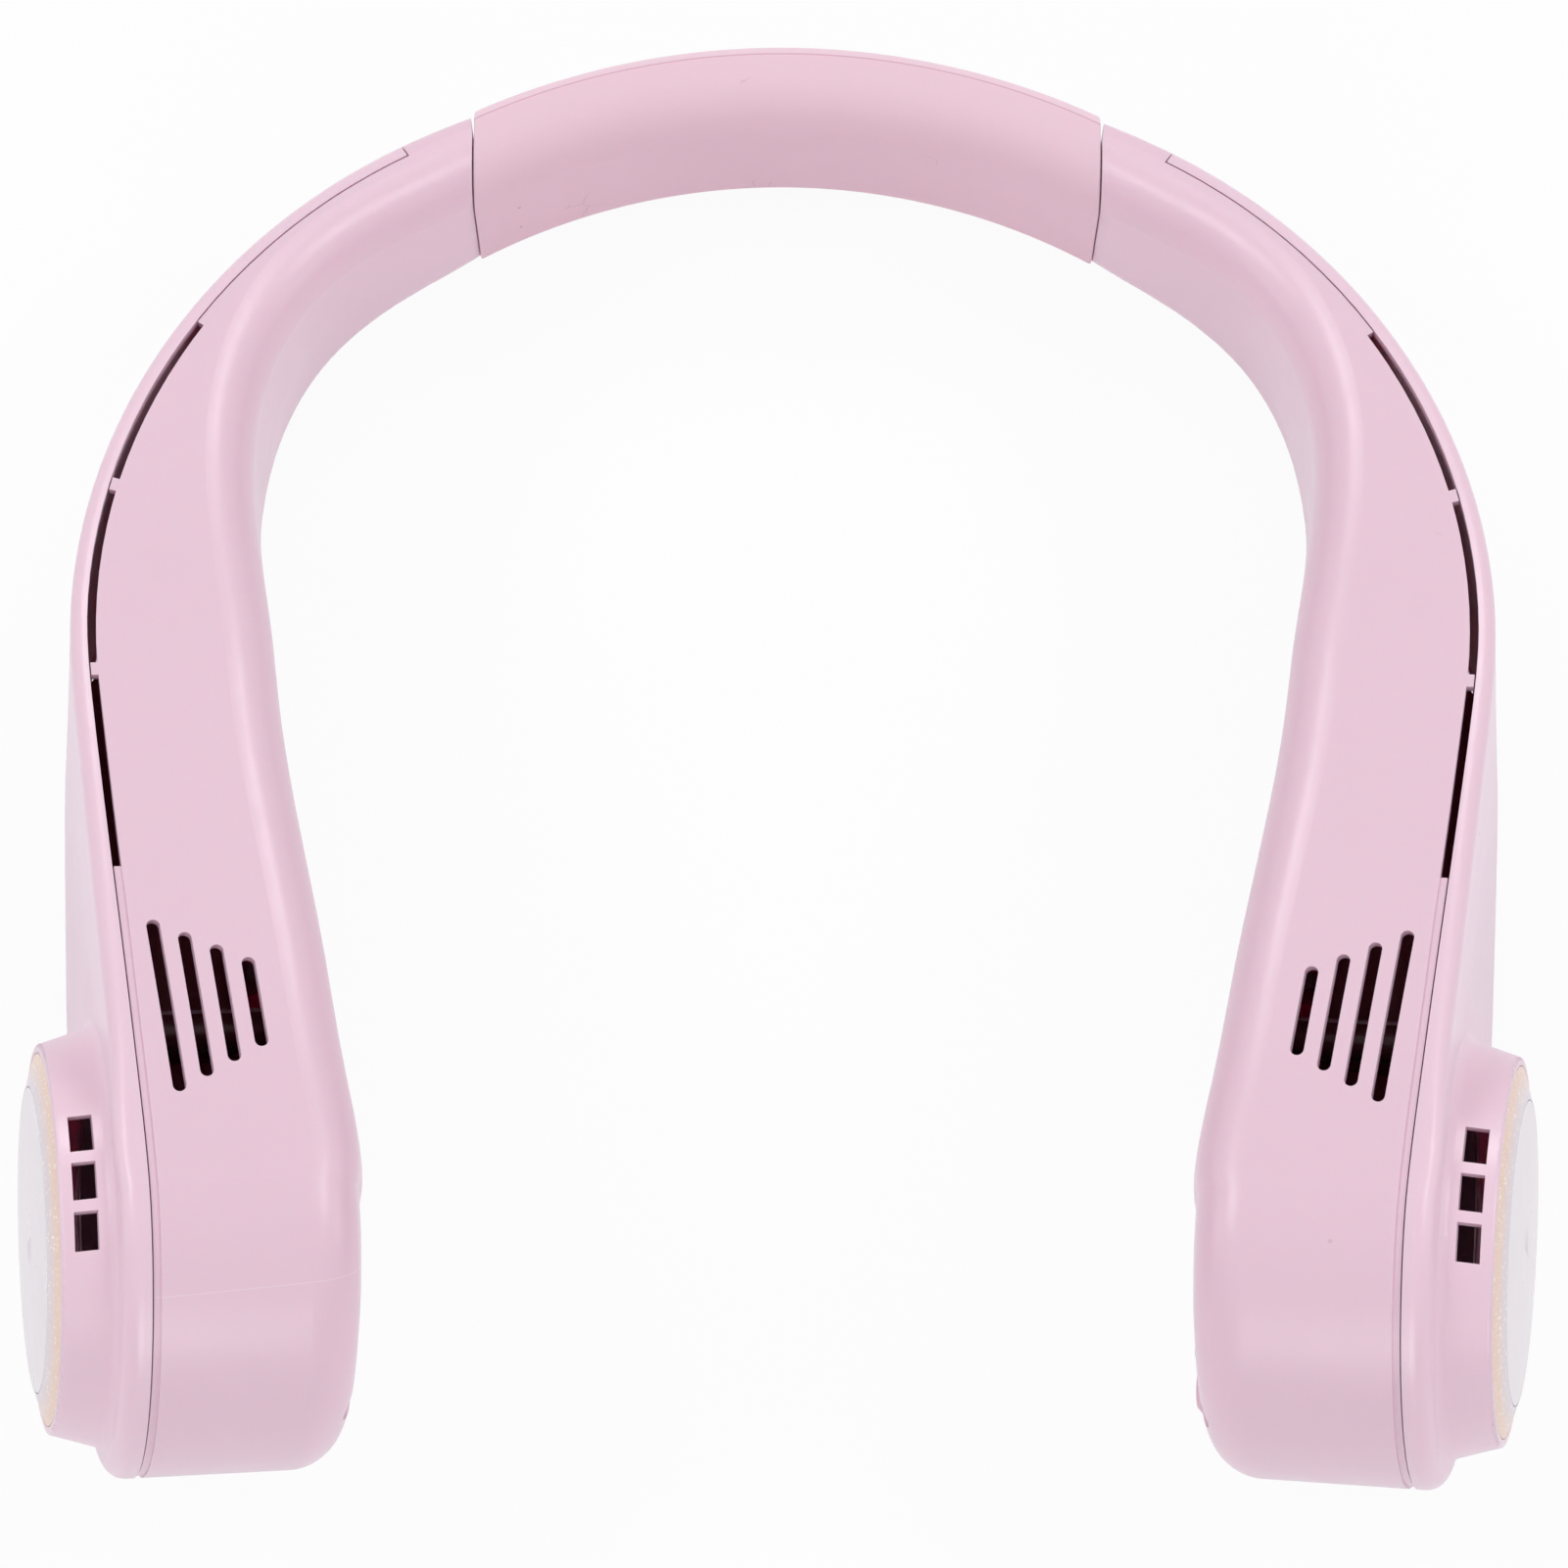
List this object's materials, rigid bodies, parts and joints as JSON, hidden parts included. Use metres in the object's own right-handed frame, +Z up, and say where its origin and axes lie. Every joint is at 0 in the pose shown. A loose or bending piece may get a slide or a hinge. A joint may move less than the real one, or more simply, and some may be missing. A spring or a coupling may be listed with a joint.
{
  "type": "electric neck fan",
  "caption": "Horseshoe neck fan: a soft neck band carries hinged arms with slot outlets, ending in round blower heads behind glossy discs.",
  "frame": {"origin": "on the surface it lies on, under the middle of its outline", "axes": "+Z up with the fan lying flat and its outlets facing up, +Y towards the neck band, -Y towards the open end, +X towards the wearer's right arm in that view"},
  "size_m": [0.1906, 0.1902, 0.0621],
  "materials": {
    "band_silicone": "matte soft silicone",
    "shell_plastic": "fine satin moulding",
    "pearl_disc": "glossy pearl",
    "glitter_ring": "glossy with fine glitter",
    "inner_plastic": "matte moulding",
    "impeller_plastic": "matte moulding",
    "button_plastic": "satin moulding",
    "switch_plastic": "matte moulding",
    "board": "solder resist",
    "light_pipe": "clear moulding",
    "cable_jacket": "matte jacket",
    "steel": "bright zinc",
    "socket_metal": "drawn sheet",
    "lamination": "stacked sheet",
    "magnet": "pressed ferrite",
    "copper": "enamelled wire",
    "motor_metal": "die cast",
    "bearing_bronze": "sintered",
    "cell_wrap": "shrink wrap"
  },
  "bodies": {
    "neck": {"neck_sleeve": "band_silicone", "neck_core": "inner_plastic", "hinge_pins": "steel", "neck_cable": "cable_jacket"},
    "right_arm": {"right_inner_shell": "shell_plastic", "right_outer_cover": "shell_plastic", "right_intake_ring": "inner_plastic", "right_trim_disc": "pearl_disc", "right_trim_ring": "glitter_ring", "right_stator_core": "lamination", "right_coils": "copper", "right_motor_base": "motor_metal", "right_motor_bearings": "bearing_bronze", "right_motor_screws": "steel", "right_case_screws": "steel", "right_fan_board": "board", "right_battery_cell": "cell_wrap", "button_switch": "switch_plastic", "charging_socket": "socket_metal", "status_light": "light_pipe"},
    "left_arm": {"left_inner_shell": "shell_plastic", "left_outer_cover": "shell_plastic", "left_intake_ring": "inner_plastic", "left_trim_disc": "pearl_disc", "left_trim_ring": "glitter_ring", "left_stator_core": "lamination", "left_coils": "copper", "left_motor_base": "motor_metal", "left_motor_bearings": "bearing_bronze", "left_motor_screws": "steel", "left_case_screws": "steel", "left_fan_board": "board", "left_battery_cell": "cell_wrap"},
    "right_rotor": {"right_impeller": "impeller_plastic", "right_rotor_magnet": "magnet", "right_rotor_shaft": "steel"},
    "left_rotor": {"left_impeller": "impeller_plastic", "left_rotor_magnet": "magnet", "left_rotor_shaft": "steel"},
    "button": {"power_button": "button_plastic"}
  },
  "joints": [
    {"name": "right_arm_hinge", "type": "hinge", "parent": "neck", "child": "right_arm", "pos_m": [0.037, 0.08161, 0.0144], "axis": [0, 0, 1], "range_deg": [0, 6], "stiffness_Nm_per_rad": 0.8},
    {"name": "left_arm_hinge", "type": "hinge", "parent": "neck", "child": "left_arm", "pos_m": [-0.037, 0.08161, 0.0144], "axis": [0, 0, -1], "range_deg": [0, 6], "stiffness_Nm_per_rad": 0.8},
    {"name": "right_rotor_spin", "type": "hinge", "parent": "right_arm", "child": "right_rotor", "pos_m": [0.06814, -0.0645, 0.03042], "axis": [0.973, -0.0928, 0.2113], "continuous": true},
    {"name": "left_rotor_spin", "type": "hinge", "parent": "left_arm", "child": "left_rotor", "pos_m": [-0.06814, -0.0645, 0.03042], "axis": [-0.973, -0.0928, 0.2113], "continuous": true},
    {"name": "power_button_press", "type": "slide", "parent": "right_arm", "child": "button", "axis": [0.973, -0.0928, 0.2113], "range_m": [0, 0.0004], "stiffness_N_per_m": 1500}
  ]
}
